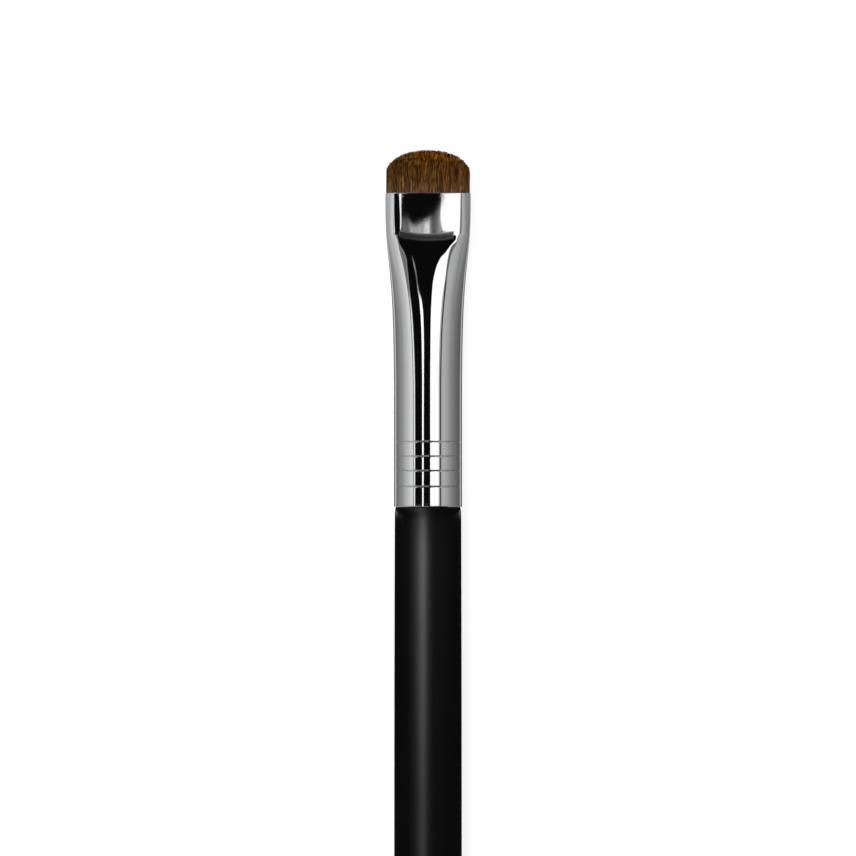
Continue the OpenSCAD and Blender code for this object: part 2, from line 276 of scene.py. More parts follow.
class Tree:
    """A material's or the world's node tree, emptied."""

    def __init__(self, owner):
        owner.use_nodes = True
        self.tree = owner.node_tree
        self.tree.nodes.clear()

    def add(self, kind, settings, links, output=0):
        """Adds a node with its settings and its sockets' values or links. Gives back one output."""
        node = self.tree.nodes.new(kind)
        for name, value in settings.items():
            if name == "stops":
                self.set_stops(node.color_ramp, value)
            else:
                setattr(node, name, value)
        for name, value in links.items():
            if isinstance(value, Value):
                self.tree.links.new(value.socket, node.inputs[name])
            else:
                node.inputs[name].default_value = value
        return Value(self, node.outputs[output]) if node.outputs else node

    @staticmethod
    def set_stops(ramp, stops):
        while len(ramp.elements) < len(stops):
            ramp.elements.new(1.0)
        for element, (place, colour) in zip(ramp.elements, stops):
            element.position = place
            grey = (colour, colour, colour, 1)
            element.color = (*colour, 1) if isinstance(colour, tuple) else grey

    def place(self):
        """Where a point lies in its object, which is where it lies in the row frame."""
        return self.add("ShaderNodeTexCoord", {}, {}, "Object")

    def stretched(self, scale):
        return self.add("ShaderNodeMapping", {}, {"Vector": self.place(), "Scale": scale})

    def split(self, vector):
        x = self.add("ShaderNodeSeparateXYZ", {}, {0: vector})
        return x, x.other(1), x.other(2)

    def noise(self, vector, scale, detail=2.0, roughness=0.5):
        links = {"Vector": vector, "Scale": scale, "Detail": detail, "Roughness": roughness}
        return self.add("ShaderNodeTexNoise", {}, links)

    def blend(self, share, a, b, kind="MIX"):
        settings = {"data_type": "RGBA", "blend_type": kind}
        return self.add("ShaderNodeMix", settings, {"Factor": share, 6: a, 7: b}, 2)

    def bump(self, height, strength, distance):
        links = {"Height": height, "Strength": strength, "Distance": distance}
        return self.add("ShaderNodeBump", {}, links)

    def plain_surface(self, links):
        """One Principled shader with these sockets as the whole material."""
        self.surface(self.add("ShaderNodeBsdfPrincipled", {}, links))

    def surface(self, shader):
        self.add("ShaderNodeOutputMaterial", {}, {"Surface": shader})


def new_material(name):
    material = bpy.data.materials.new(name)
    return material, Tree(material)


def crease_middle(x):
    """How far the crease is bowed back at x, as a share of CREASE_BOW.

    It takes a number or a node's value.
    """
    across = x * (CREASE_NARROWS / MOUTH_HALF_WIDTH)
    share = 1 - across * across
    share = share.math("MAXIMUM", 0.0) if isinstance(share, Value) else max(0, share)
    return share - BOW_AHEAD


def plating_material():
    """Bright nickel plate with faint polishing lines round the tube.

    It has painted shade by the crease: a band where the plate is darker and rougher.
    """
    material, tree = new_material("nickel_plate")
    lines = tree.noise(tree.stretched((900, 26000, 900)), 1.0, 3.0)
    cloud = tree.noise(tree.place(), 260.0, 2.0)
    x, y, _ = tree.split(tree.place())
    behind = crease_middle(x) * -CREASE_BOW + (MOUTH_Y - PANEL_LENGTH) - y
    # Painted shade: the plate's colour darkens to grey, and it roughens, in a band behind the
    # crease
    crease_shade = behind.window(*CREASE_SHADE_ALONG) * x.window(*CREASE_SHADE_ACROSS)
    tree.plain_surface({
        "Base Color": tree.blend(crease_shade, (0.86, 0.865, 0.875, 1), (0.13, 0.13, 0.13, 1)),
        "Metallic": 1.0,
        "Roughness": 0.012 + lines * 0.02 + cloud * 0.012 + crease_shade * 0.4,
        "Normal": tree.bump(lines, 0.05, 0.00001),
    })
    return material


def lacquer_material():
    """Black lacquer: smooth, with a soft gloss and a trace of orange peel."""
    material, tree = new_material("black_lacquer")
    peel = tree.noise(tree.stretched((1, 0.5, 1)), 900.0, 2.0)
    haze = tree.noise(tree.place(), 120.0, 3.0)
    tree.plain_surface({
        "Base Color": tree.blend(haze, (0.002, 0.002, 0.0022, 1), (0.0034, 0.0033, 0.0035, 1)),
        "Roughness": 0.16 + haze * 0.05,
        "Normal": tree.bump(peel, 0.08, 0.00002),
    })
    return material


def hair_material():
    """Dark brown hair: greyer by the rim, more orange and speckled with gold towards the tips."""
    material, tree = new_material("brown_hair")
    strand = tree.add("ShaderNodeAttribute", {"attribute_name": "strand"}, {}, "Vector")
    tint, along, clump = tree.split(strand)
    fine = tree.noise(tree.stretched((1, 0.16, 1)), 8000.0, 1.0).rise(0.3, 0.7)
    patch = tree.noise(tree.place(), 700.0, 1.0).rise(0.35, 0.65)
    light = tint * 0.46 + clump * 0.12 + fine * 0.42
    light = light.ramp([(0.12, 0.0), (0.37, 0.12), (0.55, 0.31), (0.7, 0.63), (0.86, 1.0)])
    root = tree.blend(light, (0.046, 0.023, 0.0085, 1), (0.28, 0.16, 0.074, 1))
    middle = tree.blend(light, (0.03, 0.012, 0.002, 1), (0.25, 0.111, 0.026, 1))
    tip = tree.blend(light * light, (0.03, 0.01, 0.0006, 1), (0.94, 0.4, 0.04, 1))
    lower = tree.blend(along.rise(0.03, 0.4), root, middle)
    colour = tree.blend(along.rise(0.55, 0.95), lower, tip)
    hue = tree.blend(patch, (1.08, 0.91, 0.8, 1), (0.96, 1.05, 0.95, 1))
    tree.plain_surface({
        "Base Color": tree.blend(1.0, colour, hue, "MULTIPLY"),
        "Roughness": 0.55 - tint * 0.1,
        "Specular IOR Level": 0.04,
    })
    return material


def wood_material():
    """Plain turned birch: long pale grain with fine darker flecks."""
    material, tree = new_material("turned_birch")
    grain = tree.noise(tree.stretched((1, 0.04, 1)), 900.0, 5.0, 0.6)
    flecks = tree.noise(tree.stretched((1, 0.06, 1)), 5200.0, 2.0)
    colour = grain.ramp([
        (0.3, (0.52, 0.34, 0.18)),
        (0.55, (0.66, 0.47, 0.28)),
        (0.75, (0.74, 0.56, 0.36)),
    ])
    tree.plain_surface({
        "Base Color": tree.blend(flecks.rise(0.62, 0.72), colour, (0.42, 0.26, 0.13, 1)),
        "Roughness": 0.55 + grain * 0.2,
        "Normal": tree.bump(grain + flecks * 0.5, 0.25, 0.00005),
    })
    return material


def cast_material(name, pale, deep, roughness, scale):
    """Resin or glue: clouded, with small bubbles."""
    material, tree = new_material(name)
    cloud = tree.noise(tree.place(), scale, 4.0)
    cells = {"Vector": tree.place(), "Scale": scale * 4}
    pits = 1 - tree.add("ShaderNodeTexVoronoi", {}, cells, "Distance").rise(0.05, 0.16)
    tree.plain_surface({
        "Base Color": tree.blend(cloud.rise(0.35, 0.7), (*pale, 1), (*deep, 1)),
        "Roughness": roughness + cloud * 0.15,
        "Normal": tree.bump(cloud - pits * 0.6, 0.3, 0.00004),
    })
    return material


def thread_material():
    """Waxed thread: pale and twisted, with painted shade that darkens the grooves between its
    plies.
    """
    material, tree = new_material("waxed_thread")
    twist = tree.add("ShaderNodeTexWave", {"bands_direction": "DIAGONAL"}, {
        "Vector": tree.place(),
        "Scale": 1400.0,
        "Distortion": 2.0,
        "Detail": 2.0,
    })
    tree.plain_surface({
        # Painted shade: the colour is darker where the twist's bump sinks into the grooves
        "Base Color": tree.blend(twist, (0.5, 0.46, 0.36, 1), (0.84, 0.8, 0.7, 1)),
        "Roughness": 0.6 - twist * 0.15,
        "Normal": tree.bump(twist, 0.5, 0.00003),
    })
    return material


# Shapes


def object_from(name, mesh, material):
    mesh.name = name
    piece = bpy.data.objects.new(name, mesh)
    bpy.context.collection.objects.link(piece)
    mesh.materials.clear()
    mesh.materials.append(material)
    mesh.shade_smooth()
    return piece


def mesh_from(bm):
    mesh = bpy.data.meshes.new("shape")
    bm.to_mesh(mesh)
    bm.free()
    return mesh


def spun(profile, steps, closed=False):
    """Turns an outline of (radius, y) points a full turn about the Y axis."""
    bm = bmesh.new()
    points = [bm.verts.new((r, y, 0)) for r, y in profile]
    for a, b in zip(points, points[1:] + points[:1] if closed else points[1:]):
        bm.edges.new((a, b))
    bmesh.ops.spin(bm, geom=bm.verts[:] + bm.edges[:], axis=(0, 1, 0), cent=(0, 0, 0),
                   angle=2 * math.pi, steps=steps, use_merge=True)
    return bm


def way_round(v):
    """Share of the way round the Y axis from +X at which a spun vertex lies."""
    return (math.atan2(v.co.z, v.co.x) / (2 * math.pi)) % 1


def finished(bm, tolerance=1e-7):
    """Merges doubled points and turns every face outwards."""
    bmesh.ops.remove_doubles(bm, verts=bm.verts[:], dist=tolerance)
    bmesh.ops.recalc_face_normals(bm, faces=bm.faces[:])
    return mesh_from(bm)


# Ferrule


def waist(d):
    """How the width falls off at distance d behind the mouth: 1 there, and towards 0 far back."""
    return 1 / (1 + (d / WAIST_AT) ** WAIST_POWER)


def turned(ramp):
    """Share of the tube's curvature that the wide face has reached at a share of the ramp."""
    start = CURVE_START ** CURVE_POWER
    whole = (1 + CURVE_START) ** CURVE_POWER - start
    return ((ramp + CURVE_START) ** CURVE_POWER - start) / whole


def section(d, crease=PANEL_LENGTH):
    """Half width, half thickness, face curvature and roundness at distance d behind the mouth."""
    d = max(0, min(d, FLARE_LENGTH))
    wide = (waist(d) - waist(FLARE_LENGTH)) / (1 - waist(FLARE_LENGTH))
    past = d - crease
    if abs(past) < CREASE_SOFTNESS:
        past = (past + CREASE_SOFTNESS) ** 2 / (4 * CREASE_SOFTNESS)
    ramp = min(1, max(0, past) / (FLARE_LENGTH - crease))
    swell = (1 - math.exp(-SWELL_RATE * ramp)) / (1 - math.exp(-SWELL_RATE))
    back = min(d, crease) / PANEL_LENGTH
    panel = MOUTH_HALF_THICKNESS - PANEL_TAPER * back - PANEL_DIP * back ** 3
    crown = mix(1 / PANEL_CROWN, 1 / CREASE_CROWN, min(1, back))
    return (
        mix(TUBE_R, MOUTH_HALF_WIDTH, wide),
        mix(panel, TUBE_R, swell),
        mix(crown, 1 / TUBE_R, turned(ramp)),
        mix(MOUTH_ROUNDNESS, CREASE_ROUNDNESS, min(1, back)) * (1 - ramp) ** 3,
    )


def oval_point(d, share, inset, crease=PANEL_LENGTH):
    """Point of the ferrule's section at a share of the way round it from +X, moved in by inset.

    The section is an oval of four arcs, softened towards an ellipse by its roundness.
    """
    w, h, curve, roundness = section(d, crease)
    if 1 - curve * w < NEARLY_ROUND:
        end_r = h
    else:
        end_r = (2 * h - curve * (w * w + h * h)) / (2 * (1 - curve * w))
    face_turn = math.atan2(w - end_r, 1 / curve - h)
    end_turn = math.pi / 2 - face_turn
    end_part = end_r * end_turn / (end_r * end_turn + face_turn / curve)
    quarter, past = divmod(4 * share, 1)
    run = past if quarter % 2 == 0 else 1 - past
    if run <= end_part:
        turn = end_turn * run / end_part
    else:
        turn = end_turn + face_turn * (run - end_part) / (1 - end_part)
    across, up = math.cos(turn), math.sin(turn)
    if run <= end_part:
        x, z = w - end_r + end_r * across, end_r * up
    else:
        x, z = across / curve, up / curve - (1 / curve - h)
    reach = math.hypot(w * across, h * up)
    x = mix(x, w * w * across / reach, roundness) - inset * across
    z = mix(z, h * h * up / reach, roundness) - inset * up
    side = 1 if quarter in (0, 3) else -1
    return side * x, z if quarter < 2 else -z


def pressed_point(d, share, inset):
    """The same, with the crease behind the panel bowed back in its middle."""
    x, _ = oval_point(d, share, inset)
    return oval_point(d, share, inset, PANEL_LENGTH + CREASE_BOW * crease_middle(x))


def crimp_depth(y):
    """How far the wall is rolled in at this distance in front of the ferrule's rear end."""
    depth = 0
    for place in CRIMPS:
        off = (y - place) / (CRIMP_FRONT if y > place else CRIMP_BACK)
        if abs(off) < 1:
            depth = CRIMP_DEPTH * (0.5 + 0.5 * math.cos(math.pi * off))
    return depth


def ferrule_stations():
    """Distances behind the mouth at which the ferrule's skin has a ring."""
    stations = []
    for start, end, count in SKIN_RINGS:
        stations += spread(start, end, count)
    for place in reversed(CRIMPS):
        crimp_at = FERRULE_LENGTH - place
        front = crimp_at - CRIMP_FRONT - CRIMP_MARGIN
        back = crimp_at + CRIMP_BACK + CRIMP_MARGIN
        stations += spread(front, crimp_at, CRIMP_FRONT_RINGS)
        stations += spread(crimp_at + CRIMP_BACK / 4, back, CRIMP_BACK_RINGS)
    return stations


def ferrule_mesh():
    """Drawn tube pressed flat at the mouth: a spun sleeve whose rings are set to their sections."""
    stations = ferrule_stations()
    length = FERRULE_LENGTH
    outside = [(RIM_EASE, 0)] + [(0, d) for d in stations]
    outside += [(0, length - 3 * REAR_EDGE), (0, length - REAR_EDGE), (REAR_EDGE, length)]
    inside = [(WALL, length)] + [(WALL, d) for d in reversed(stations[::3])]
    inside += [(WALL - RIM_EASE, 0)]
    bm = spun([(1 - inset, d) for inset, d in outside + inside], FERRULE_SIDES, closed=True)
    for v in bm.verts:
        inset = 1 - math.hypot(v.co.x, v.co.z)
        d = v.co.y
        x, z = pressed_point(d, way_round(v), inset + crimp_depth(length - d))
        v.co = (x, MOUTH_Y - d, AXIS_Z + z)
    return finished(bm)


# Hair


def dome_height(x, z, half_width, half_thickness):
    """Free length of the hair by its root's place in the mouth: a dome over width and thickness."""
    across = np.clip(1 - (x / half_width) ** 2, 0, 1) ** DOME_POWER
    crown = mix(SIDE_HEIGHT, FREE_HAIR - CROWN_CLEARANCE, across)
    face = mix(FACE_SIDE_HEIGHT, FACE_CROWN_HEIGHT, across)
    through = np.sqrt(np.clip(1 - np.abs(z / half_thickness) ** FACE_POWER, 0, 1))
    return mix(face, crown, through)


def one_hair():
    """A unit hair along Y, 0 at its root and 1 at its tip, that swells and tapers as a real one."""
    profile = [(HAIR_FOOT, 0.0), (HAIR_WAIST, MOUTH_SHARE / 2)]
    for t in spread(MOUTH_SHARE, HAIR_POINT_FROM, HAIR_RINGS - 3):
        profile.append((1 - HAIR_TAPER * max(0, t - HAIR_TAPER_FROM) ** HAIR_TAPER_POWER, t))
    profile.append((0.0, 1.0))
    return finished(spun(profile, HAIR_SIDES), 1e-6)


def many(mesh, count):
    """One mesh that holds count copies of this one, in order."""
    carrier = bpy.data.objects.new("carrier", mesh)
    bpy.context.collection.objects.link(carrier)
    array = carrier.modifiers.new("array", "ARRAY")
    array.fit_type = "FIXED_COUNT"
    array.count = count
    array.use_relative_offset = False
    array.use_merge_vertices = False
    graph = bpy.context.evaluated_depsgraph_get()
    result = bpy.data.meshes.new_from_object(carrier.evaluated_get(graph))
    bpy.data.objects.remove(carrier)
    return result


def mouth_points(count, draw):
    """Roots spread evenly over the mouth's oval inside, on a jittered brick pattern."""
    w, h, _, _ = section(0)
    w, h = w - WALL - HAIR_RADIUS, h - WALL - HAIR_RADIUS
    pitch = math.sqrt(4 * w * h * MOUTH_FILL / count)
    rows = int(2 * h / pitch) + 2
    columns = int(2 * w / pitch) + 2
    across = np.arange(columns) - columns / 2 + 0.5
    up = np.arange(rows) - rows / 2 + 0.5
    x, z = np.meshgrid(across, up)
    x = (x + 0.5 * (np.arange(rows)[:, None] % 2)) * pitch
    z = z * pitch
    x = x + draw.uniform(-ROOT_JITTER, ROOT_JITTER, x.shape) * pitch
    z = z + draw.uniform(-ROOT_JITTER, ROOT_JITTER, z.shape) * pitch
    x, z = x.ravel(), z.ravel()
    end = np.clip(np.abs(x) - (w - h), 0, None)
    inside = end ** 2 + z ** 2 < h ** 2
    return x[inside], z[inside]


def hair_mesh(layer):
    """One layer of the hair, counted from below, made of copies of one hair."""
    draw = np.random.default_rng(SEED)
    w, h, _, _ = section(0)
    w, h = w - WALL, h - WALL
    x, z = mouth_points(HAIR_COUNT, draw)
    count = len(x)
    tint = draw.random(count)
    length_jitter = draw.normal(0, 1, count)
    lean = draw.normal(0, 1, (count, 2))
    wave = draw.normal(0, 1, (count, 2))
    long = draw.random(count)
    clump_x, clump_z = mouth_points(CLUMP_COUNT, draw)
    clump_tint = draw.random(len(clump_x))
    clump_length = draw.normal(0, 1, len(clump_x))
    clump_lean = draw.normal(0, 1, (len(clump_x), 2))
    nearest = np.argmin((x[:, None] - clump_x) ** 2 + (z[:, None] - clump_z) ** 2, axis=1)

    free = dome_height(x, z, w, h)
    free = free + length_jitter * LENGTH_JITTER + clump_length[nearest] * CLUMP_LENGTH_JITTER
    free = free + np.clip(long - LONG_FROM, 0, None) * LONG_EXTRA
    lean = lean * LEAN + clump_lean[nearest] * CLUMP_LEAN
    tip_x = mix(x, clump_x[nearest], GATHER[0]) + lean[:, 0]
    tip_z = mix(z, clump_z[nearest], GATHER[1]) + lean[:, 1]
    tip_x = np.clip(tip_x, -w + HAIR_RADIUS, w - HAIR_RADIUS)
    tip_z = tip_z * (1 - FACE_TUCK * (z / h) ** 2)

    layers = len(HAIR_LAYERS)
    keep = np.clip(((z / h + 1) / 2 * layers).astype(int), 0, layers - 1) == layer
    hair = one_hair()
    size = len(hair.vertices)
    mesh = many(hair, int(keep.sum()))
    unit = np.empty(len(mesh.vertices) * 3)
    mesh.vertices.foreach_get("co", unit)
    unit = unit.reshape(-1, size, 3)
    t = unit[:, :, 1]

    def each(values):
        return values[keep][:, None]

    # The root stands in the ferrule. The hair swings out over the rim, then leans and waves
    root = mix(-ROOT_DEPTH, SPREAD_HEIGHT, t / MOUTH_SHARE)
    shaft = mix(SPREAD_HEIGHT, each(free), (t - MOUTH_SHARE) / (1 - MOUTH_SHARE))
    above = np.where(t < MOUTH_SHARE, root, shaft)
    out = HAIR_SPREAD / w * np.clip(above / SPREAD_HEIGHT, 0, 1)
    climb = np.clip(above / each(free), 0, 1) ** CLIMB_POWER

    def waved(axis):
        phase = each(wave[:, axis]) * WAVE_PHASE
        return WAVE[axis] * climb * np.sin(phase + WAVE_TURN[axis] * climb)

    centre_x = mix(each(x), each(tip_x), climb) * (1 + out) + waved(0)
    centre_z = mix(each(z), each(tip_z), climb) + waved(1)
    points = np.stack([
        centre_x + unit[:, :, 0] * HAIR_RADIUS,
        MOUTH_Y + above,
        AXIS_Z + centre_z + unit[:, :, 2] * HAIR_RADIUS,
    ], axis=2)
    mesh.vertices.foreach_set("co", points.ravel())

    height = np.clip(above / FREE_HAIR, 0, 1)
    ones = np.ones_like(t)
    strand = np.stack([ones * each(tint), height, ones * each(clump_tint[nearest]), ones], axis=2)
    set_strand(mesh, strand)
    mesh.update()
    return mesh


def set_strand(mesh, values):
    """Stores each vertex's tint, share of the free height and clump tint, for hair_material."""
    colours = mesh.color_attributes.new("strand", "FLOAT_COLOR", "POINT")
    colours.data.foreach_set("color", np.ravel(values))


def root_mesh():
    """Packed root inside the ferrule, from below the mouth back to the tied butt."""
    butt_y = hair_low.y
    neck_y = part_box("root_resin")[1].y
    crease = MOUTH_Y - PANEL_LENGTH
    clear = WALL + ROOT_CLEARANCE
    front = [(share, ROOT_FRONT_Y) for share in (0.0, 0.5, 1.0)]
    body = [(1.0, y) for y in spread(ROOT_FRONT_Y - ROOT_BODY_FROM, crease, ROOT_BODY_RINGS)]
    neck = [(1.0, y) for y in spread(crease - ROOT_NECK_FROM, neck_y, ROOT_NECK_RINGS)]
    butt = [(1.0, butt_y), (0.0, butt_y)]
    bm = spun(front + body + neck + butt, ROOT_SIDES)
    for v in bm.verts:
        y = v.co.y
        scale = math.hypot(v.co.x, v.co.z)
        share = way_round(v)
        turn = 2 * math.pi * share
        x, z = oval_point(MOUTH_Y - y, share, clear)
        gathered = min(1, max(0, (crease - y) / (crease - neck_y)))
        tied = min(BUTT_R, section(MOUTH_Y - y)[1] - clear)
        x = mix(x, tied * math.cos(turn), gathered)
        z = mix(z, tied * math.sin(turn), gathered)
        v.co = (x * scale, y, AXIS_Z + z * scale)
    mesh = finished(bm)
    set_strand(mesh, np.tile(ROOT_STRAND, len(mesh.vertices)))
    return mesh


# Handle


def handle_profile(inset):
    """Outline of the lacquered handle from the ferrule to the tail, as (radius, y)."""
    shoulder_back = REAR_Y - SHOULDER_ROUND
    belly_front = REAR_Y - BELLY_AT
    belly_back = belly_front - BELLY_LENGTH
    tail_front = TAIL_Y + TAIL_ROUND
    points = []
    for a in spread(0, math.pi / 2, SHOULDER_RINGS):
        drop = SHOULDER_DROP * (1 - math.sin(a))
        points.append((NECK_R - drop - inset, REAR_Y - SHOULDER_ROUND * (1 - math.cos(a))))
    for u in spread(0.05, 1, NECK_RINGS):
        r = mix(BELLY_R, NECK_R, (1 - u) ** 2)
        points.append((r - inset, mix(shoulder_back, belly_front, u)))
    for u in spread(0, 1, TAPER_RINGS):
        r = mix(BELLY_R, TAIL_R, u ** TAPER_POWER)
        points.append((r - inset, mix(belly_back, tail_front, u)))
    for a in spread(math.pi / 2 / TAIL_RINGS, math.pi / 2, TAIL_RINGS):
        r = (TAIL_R - inset) * math.cos(a)
        points.append((r, tail_front - (TAIL_ROUND - inset) * math.sin(a)))
    points[-1] = (0.0, points[-1][1])
    return points


def handle_mesh():
    """Coat of lacquer over the turned handle, as a closed shell."""
    bm = spun(handle_profile(0) + handle_profile(COAT)[::-1], HANDLE_SIDES, closed=True)
    bmesh.ops.translate(bm, verts=bm.verts[:], vec=(0, 0, AXIS_Z))
    return finished(bm)


# Studio


def glow_material(name, strength):
    """Material that only shines. strength is a function of its node tree."""
    material, tree = new_material(name)
    links = {"Color": (1, 1, 1, 1), "Strength": strength(tree)}
    tree.surface(tree.add("ShaderNodeEmission", {}, links))
    return material


def for_reflections(name, bm, strength):
    """Adds a shining shape to the scene that only reflections see."""
    piece = object_from(name, mesh_from(bm), glow_material(name, strength))
    piece.visible_camera = False
    piece.visible_diffuse = False
    piece.visible_transmission = False
    piece.visible_volume_scatter = False
    piece.visible_shadow = False


def flag(name, corner, opposite, z, strength):
    """A flat card beside the brush, between two corners given as (x, y)."""
    bm = bmesh.new()
    bmesh.ops.create_grid(bm, x_segments=1, y_segments=1, size=0.5)
    for v in bm.verts:
        x = mix(corner[0], opposite[0], v.co.x + 0.5)
        v.co = (x, mix(corner[1], opposite[1], v.co.y + 0.5), z)
    for_reflections(name, bm, strength)


SCREEN_STEPS = 72


def screen(name, edge, axis_z, strength, below=0.0):
    """A line of (x, y) points swept over the brush, round the height axis_z, from left to right.

    The sweep starts and ends at an angle of below under that height.
    """
    bm = bmesh.new()
    across, down = math.cos(below), math.sin(below)
    bm.edges.new([bm.verts.new((x * across, y, axis_z + x * down)) for x, y in edge])
    bmesh.ops.spin(bm, geom=bm.verts[:] + bm.edges[:], axis=(0, 1, 0), cent=(0, 0, axis_z),
                   angle=math.pi + 2 * below, steps=SCREEN_STEPS)
    for_reflections(name, bm, strength)


# The flags shade what the brush's lower flanks mirror: (distance from the axis in mm, brightness)
FLAG_LEFT = [
    (4.2, 0.04), (5.3, 0.06), (6.1, 0.4), (6.9, 0.62), (7.9, 0.42), (8.9, 0.16), (9.8, 0.14),
    (10.9, 0.18), (12.9, 0.21), (21.8, 0.26), (38, 0.3), (180, 0.34), (2000, 0.37),
]
FLAG_RIGHT = [
    (4.2, 0.04), (5.3, 0.06), (6.1, 0.35), (6.9, 0.52), (7.9, 0.3), (8.9, 0.1), (9.8, 0.1),
    (10.9, 0.12), (12.9, 0.135), (21.8, 0.165), (38, 0.19), (180, 0.22), (2000, 0.24),
]
FLAG_REACH = 2.5
FLAG_HALF = 15 * MM
FLAG_INNER = 0.7 * MM
FLAG_Z = 0.05 * MM
LIFT_ALONG = (MOUTH_Y - 16 * MM, MOUTH_Y + 1 * MM)
LIFT_AWAY = (7 * MM, 8 * MM)
BRIGHT_ALONG = (REAR_Y - 1.5 * MM, REAR_Y - 0.5 * MM)
BRIGHT_AWAY = (36 * MM, 42 * MM)
FLAG_BY_HANDLE = 0.012
FLAGS = (("left_flag", -1, FLAG_LEFT, 0.2), ("right_flag", 1, FLAG_RIGHT, 0.1))


def flag_glow(levels, lift):
    """Brightness by distance from the axis: lifted by the mouth, and nearly black by the handle."""
    stops = [(x * MM / (x * MM + FLAG_HALF), level) for x, level in levels]

    def strength(tree):
        x, y, _ = tree.split(tree.place())
        away = x.math("ABSOLUTE")
        by_mouth = y.rise(*LIFT_ALONG) * away.rise(*LIFT_AWAY)
        bright = y.rise(*BRIGHT_ALONG).math("MAXIMUM", away.rise(*BRIGHT_AWAY))
        level = (away / (away + FLAG_HALF)).ramp(stops) + by_mouth * lift
        return bright * level + (1 - bright) * FLAG_BY_HANDLE
    return strength


# Black arch over the handle with one soft bright band: (degrees from straight up towards +X,
# share of its brightness), and the brightness along it from its tail to its end by the ferrule
ARCH_BAND = [
    (-90, 0.008), (-70, 0.015), (-63, 0.028), (-55, 0.066), (-47.8, 0.14), (-40, 0.255),
    (-33, 0.42), (-26, 0.82), (-19, 1.2), (-12, 1.3), (-5, 0.62), (2, 0.28), (8.6, 0.125),
    (15.5, 0.06), (22.5, 0.045), (42, 0.03), (90, 0.008),
]
ARCH_ALONG = [
    (0.0, 0.14), (0.8, 0.18), (0.85, 0.205), (0.915, 0.285), (0.965, 0.6), (0.9905, 0.92),
    (0.9965, 0.66), (1.0, 0.4),
]
ARCH_PEAK = 2.6
ARCH_RADIUS = 40 * MM
ARCH_AXIS_Z = 0.1 * MM
ARCH_TAIL = -0.35
ARCH_END = REAR_Y - 0.35 * MM

# The arch's end by the ferrule is closed down to the handle, on its back and on its front, which
# the crimped rings mirror: (degrees from straight up towards +X, brightness)
ARCH_FRONT = [
    (-90, 0.24), (-60, 0.4), (-40, 0.3), (-30, 0.14), (0, 0.14), (3, 0.02), (33, 0.02),
    (40, 0.3), (90, 0.13),
]
END_SHARE = 0.25
END_BELOW = 0.9
END_INNER = (-NECK_R - 0.02 * MM, REAR_Y - 0.06 * MM)
END_OUTER = (-ARCH_RADIUS + 4 * MM, ARCH_END)
FRONT_AHEAD = 0.02 * MM


def tent_stops(levels):
    return [((degrees + 90) / 180, level) for degrees, level in levels]


def turn(tree, centre_z=0.0):
    """0 at -X, 0.5 straight up and 1 at +X, round the brush."""
    x, _, z = tree.split(tree.place())
    return x.math("ARCTAN2", z - centre_z) / math.pi + 0.5


def arch_glow(tree):
    _, y, _ = tree.split(tree.place())
    along = ((y - ARCH_TAIL) / (ARCH_END - ARCH_TAIL)).ramp(ARCH_ALONG)
    return turn(tree).ramp(tent_stops(ARCH_BAND)) * along * ARCH_PEAK


def arch_end_glow(tree):
    return turn(tree, AXIS_Z).ramp(tent_stops(ARCH_BAND)) * ARCH_PEAK * END_SHARE


def arch_front_glow(tree):
    return turn(tree, AXIS_Z).ramp(tent_stops(ARCH_FRONT))


def studio_cards():
    for name, side, levels, lift in FLAGS:
        corner = (side * FLAG_INNER, -FLAG_REACH)
        flag(name, corner, (side * FLAG_REACH, FLAG_REACH), FLAG_Z, flag_glow(levels, lift))
    sides = [(-ARCH_RADIUS, ARCH_TAIL), (-ARCH_RADIUS, ARCH_END)]
    screen("arch", sides, ARCH_AXIS_Z, arch_glow)
    for name, ahead, glow in (
        ("arch_end", 0, arch_end_glow),
        ("arch_front", FRONT_AHEAD, arch_front_glow),
    ):
        edge = [(x, y + ahead) for x, y in (END_INNER, END_OUTER)]
        screen(name, edge, AXIS_Z, glow, END_BELOW)


# Grey flanks of the tent that polished metal mirrors: (degrees from straight up towards +X,
# brightness)
FLANKS = [
    (-90, 0.39), (-78, 0.5), (-69.8, 0.58), (-61.8, 0.68), (-54, 0.77), (-52, 0.72), (-51.3, 0.1),
    (-49.3, 0.1), (-48.6, 0.95), (-45.4, 0.95), (-44.2, 0.4), (-43, 0.003), (43, 0.003),
    (44.6, 0.02), (46.5, 0.42), (50.5, 0.47), (58, 0.445), (66, 0.4), (74, 0.335), (82.8, 0.27),
    (90, 0.235),
]
WHITE = 1.25

# Where parts of the tent start and are full, and where some of them start to fade and are gone, in
# degrees: ACROSS towards +X, and ALONG and FRONT towards the tip. GLOW is a part's brightness, and
# DIMS the share of the flanks' brightness that it takes away
GLINT_ACROSS = (-49.0, -48.4, -46.0, -43.0)
GLINT_ALONG = (2.0, 9.0)
GLINT_DIMS = 0.85
TIPPED_ALONG = (9.0, 30.0)
TIPPED_DIMS = 0.1
SEAM_ACROSS = (40.0, 43.0, 46.0, 50.0)
SEAM_ALONG = (7.0, 16.0)
SEAM_GLOW = 0.12
RIM_ACROSS = (42.0, 48.0)
RIM_ALONG = (40.0, 60.0)
RIM_GLOW = 0.5
CLOUD_ACROSS = (-18.0, -17.4, 7.5, 8.5)
CLOUD_FRONT = (-1.6, -1.4)
CLOUD_SOFTNESS = (0.0, 1.3)
RIGHT_ACROSS = (7.0, 8.0, 28.0, 36.0)
RIGHT_ALONG = (-9.5, -8.0, -4.0, -2.0)
RIGHT_GLOW = 0.13
UNDER_ACROSS = (-44.0, -42.0, 7.0, 9.0)
UNDER_FRONT = (-26.0, -15.0)
UNDER_GLOW = 0.18

